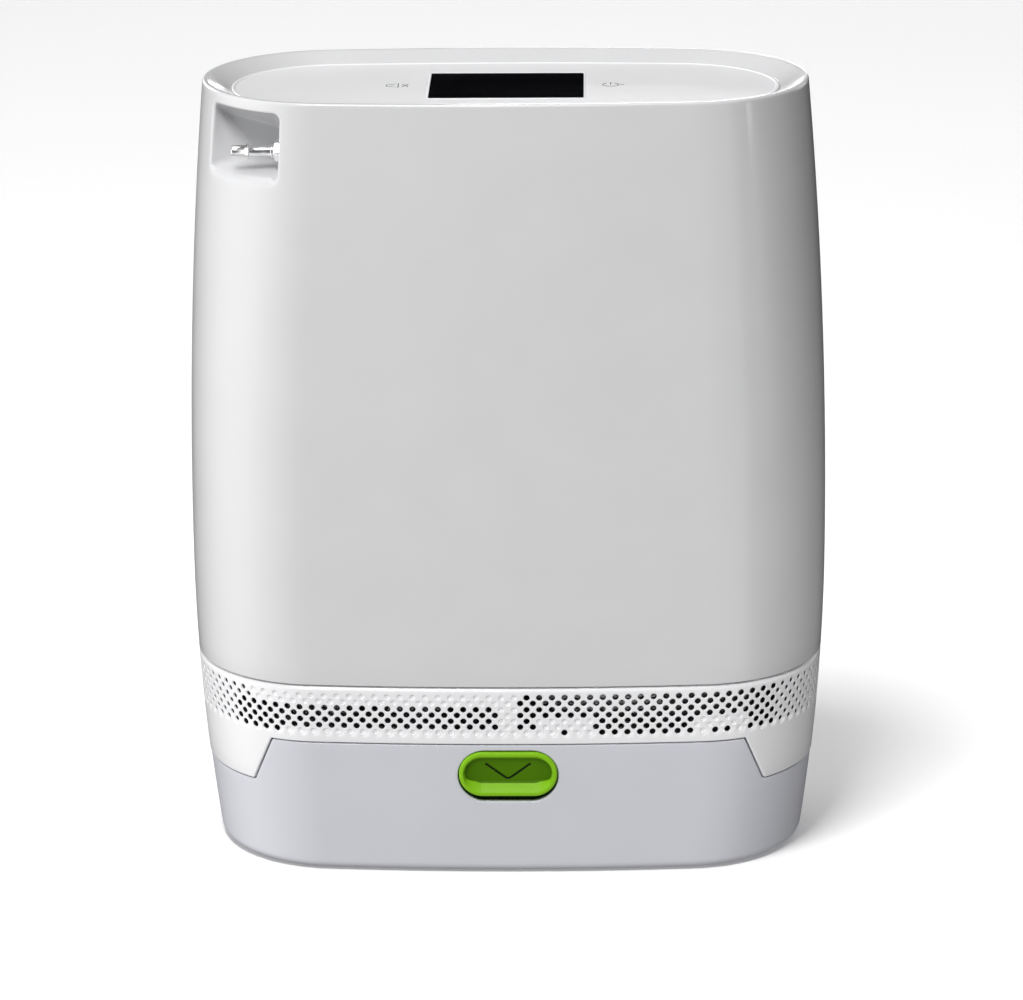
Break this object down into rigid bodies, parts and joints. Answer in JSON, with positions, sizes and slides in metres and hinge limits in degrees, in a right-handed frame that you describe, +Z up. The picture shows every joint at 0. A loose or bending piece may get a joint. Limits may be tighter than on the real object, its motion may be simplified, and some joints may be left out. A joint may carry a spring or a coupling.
{
  "type": "portable oxygen concentrator",
  "caption": "Portable oxygen concentrator with a tall oval case, a dished control panel on top, a recessed outlet nozzle, a perforated vent band and a clip-on battery base with a green latch.",
  "frame": {"origin": "on the floor, under the middle of the case", "axes": "+Z up, front face towards -Y, +X to the right seen from the front"},
  "size_m": [0.2108, 0.0914, 0.26],
  "materials": {
    "housing_shell": "gloss, light silver grey",
    "vent_band": "satin white",
    "panel_plastic": "satin light grey",
    "display_glass": "polished black",
    "black_plastic": "fine texture",
    "circuit_board": "solder mask",
    "nozzle_chrome": "polished",
    "dark_rubber": "matte",
    "white_plastic": "moulded",
    "steel": "machined",
    "battery_shell": "satin cool grey",
    "cell_metal": "shrink sleeve over metal cans",
    "button_green": "gloss bright green",
    "aluminium": "machined",
    "copper_pipe": "drawn",
    "zeolite": "packed beads",
    "foam": "open cell foam",
    "hose_silicone": "silicone"
  },
  "bodies": {
    "battery_pack": {"battery_case": "battery_shell", "battery_cover": "battery_shell", "battery_cells": "cell_metal", "cell_holders": "black_plastic", "battery_board": "circuit_board", "battery_plug": "black_plastic", "battery_feet": "dark_rubber", "battery_screws": "steel", "latch_frame": "black_plastic", "latch_spring": "steel"},
    "concentrator": {"acoustic_foam": "foam", "battery_socket": "black_plastic", "board_spacers": "white_plastic", "chassis_plate": "aluminium", "compressor_crankcase": "aluminium", "compressor_cylinders": "aluminium", "compressor_isolators": "dark_rubber", "control_panel": "panel_plastic", "cooling_coil": "copper_pipe", "crankcase_cover": "aluminium", "cylinder_heads": "aluminium", "display_module": "black_plastic", "display_window": "display_glass", "dose_valve_body": "white_plastic", "exhaust_muffler": "black_plastic", "fan_frame": "black_plastic", "gas_hoses": "hose_silicone", "housing_screws": "steel", "intake_filter": "foam", "latch_catch": "steel", "lower_housing": "vent_band", "main_board": "circuit_board", "motor_can": "steel", "motor_stator": "steel", "outlet_filter": "white_plastic", "outlet_nozzle": "nozzle_chrome", "outlet_nut": "nozzle_chrome", "outlet_seal": "dark_rubber", "oxygen_sensor": "black_plastic", "power_inlet": "black_plastic", "product_tank": "white_plastic", "shaft_bearings": "steel", "sieve_beds": "zeolite", "sieve_columns": "aluminium", "sieve_top_cap": "white_plastic", "touch_key_board": "circuit_board", "upper_housing": "housing_shell", "valve_manifold": "white_plastic", "valve_solenoids": "steel"},
    "latch_button": {"latch_button": "button_green"},
    "latch_bolt": {"latch_bolt": "steel"},
    "crank_train": {"crankshaft": "steel", "eccentrics": "steel", "rotor_magnet": "steel"},
    "left_rod": {"left_piston_rod": "aluminium"},
    "right_rod": {"right_piston_rod": "aluminium"},
    "fan": {"fan_rotor": "black_plastic"},
    "front_plunger": {"front_valve_plunger": "steel"},
    "rear_plunger": {"rear_valve_plunger": "steel"},
    "dose_plunger": {"dose_valve_plunger": "steel"}
  },
  "joints": [
    {"name": "battery_release_lift", "type": "slide", "parent": "battery_pack", "child": "concentrator", "axis": [0, 0, 1], "range_m": [0, 0.06], "deforming": ["latch_catch"]},
    {"name": "latch_press", "type": "slide", "parent": "battery_pack", "child": "latch_button", "axis": [0, 0, -1], "range_m": [0, 0.0012], "stiffness_N_per_m": 600, "springref_m": -0.004, "deforming": ["latch_spring"]},
    {"name": "latch_draw", "type": "slide", "parent": "battery_pack", "child": "latch_bolt", "axis": [0, 1, 0], "range_m": [0, 0.0024]},
    {"name": "crank_spin", "type": "hinge", "parent": "concentrator", "child": "crank_train", "pos_m": [-0.03, 0, 0.088], "axis": [0, 1, 0], "continuous": true},
    {"name": "left_rod_turn", "type": "hinge", "parent": "crank_train", "child": "left_rod", "pos_m": [-0.033, -0.012, 0.088], "axis": [0, 1, 0], "continuous": true},
    {"name": "right_rod_turn", "type": "hinge", "parent": "crank_train", "child": "right_rod", "pos_m": [-0.027, -0.005, 0.088], "axis": [0, 1, 0], "continuous": true},
    {"name": "fan_spin", "type": "hinge", "parent": "concentrator", "child": "fan", "pos_m": [-0.03, 0.004, 0.131], "axis": [0, 0, 1], "continuous": true},
    {"name": "front_valve_stroke", "type": "slide", "parent": "concentrator", "child": "front_plunger", "axis": [-1, 0, 0], "range_m": [0, 0.0015], "stiffness_N_per_m": 300, "springref_m": -0.003},
    {"name": "rear_valve_stroke", "type": "slide", "parent": "concentrator", "child": "rear_plunger", "axis": [-1, 0, 0], "range_m": [0, 0.0015], "stiffness_N_per_m": 300, "springref_m": -0.003},
    {"name": "dose_valve_stroke", "type": "slide", "parent": "concentrator", "child": "dose_plunger", "axis": [0, 0, 1], "range_m": [0, 0.0015], "stiffness_N_per_m": 300, "springref_m": -0.003}
  ],
  "couplings": [
    {"joint": "latch_draw", "follows": "latch_press", "ratio": 2},
    {"joint": "left_rod_turn", "follows": "crank_spin", "ratio": -1},
    {"joint": "right_rod_turn", "follows": "crank_spin", "ratio": -1}
  ]
}
